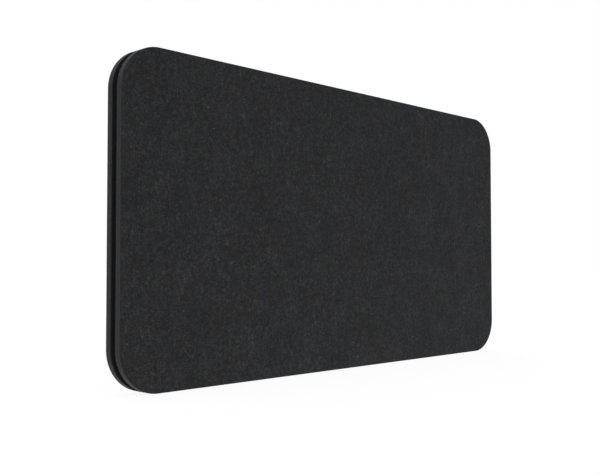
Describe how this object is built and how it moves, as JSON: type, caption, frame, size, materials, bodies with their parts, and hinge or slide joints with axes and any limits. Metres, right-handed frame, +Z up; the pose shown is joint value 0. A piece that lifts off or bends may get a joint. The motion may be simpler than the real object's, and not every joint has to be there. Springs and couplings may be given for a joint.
{
  "type": "acoustic divider screen",
  "caption": "Free-standing or desk-mounted acoustic divider: felt boards on both faces of a slim grooved frame with rounded corners.",
  "frame": {"origin": "middle of the bottom edge, half-way through the thickness, on the surface that the screen stands on", "axes": "+X along the screen's width, +Y through its thickness from the front face to the rear face, +Z up"},
  "size_m": [1, 0.036, 0.52],
  "materials": {
    "felt": "matte",
    "black_anodised": "matte",
    "black_nylon": "matte",
    "black_oxide_steel": "satin",
    "mill_aluminium": "satin",
    "zinc_steel": "satin",
    "fibre_infill": "matte",
    "bonding_tape": "satin"
  },
  "bodies": {
    "root": {"front_felt_board": "felt", "rear_felt_board": "felt", "top_rail": "black_anodised", "bottom_rail": "black_anodised", "left_stile": "black_anodised", "right_stile": "black_anodised", "corner_top_right": "black_nylon", "corner_top_left": "black_nylon", "corner_bottom_left": "black_nylon", "corner_bottom_right": "black_nylon", "corner_screws": "black_oxide_steel", "mullion_left": "mill_aluminium", "mullion_right": "mill_aluminium", "mullion_plugs": "black_nylon", "mullion_screws": "black_oxide_steel", "nut_bar_left": "zinc_steel", "nut_bar_right": "zinc_steel", "infill_left": "fibre_infill", "infill_centre": "fibre_infill", "infill_right": "fibre_infill", "front_tape": "bonding_tape", "rear_tape": "bonding_tape"}
  },
  "joints": []
}
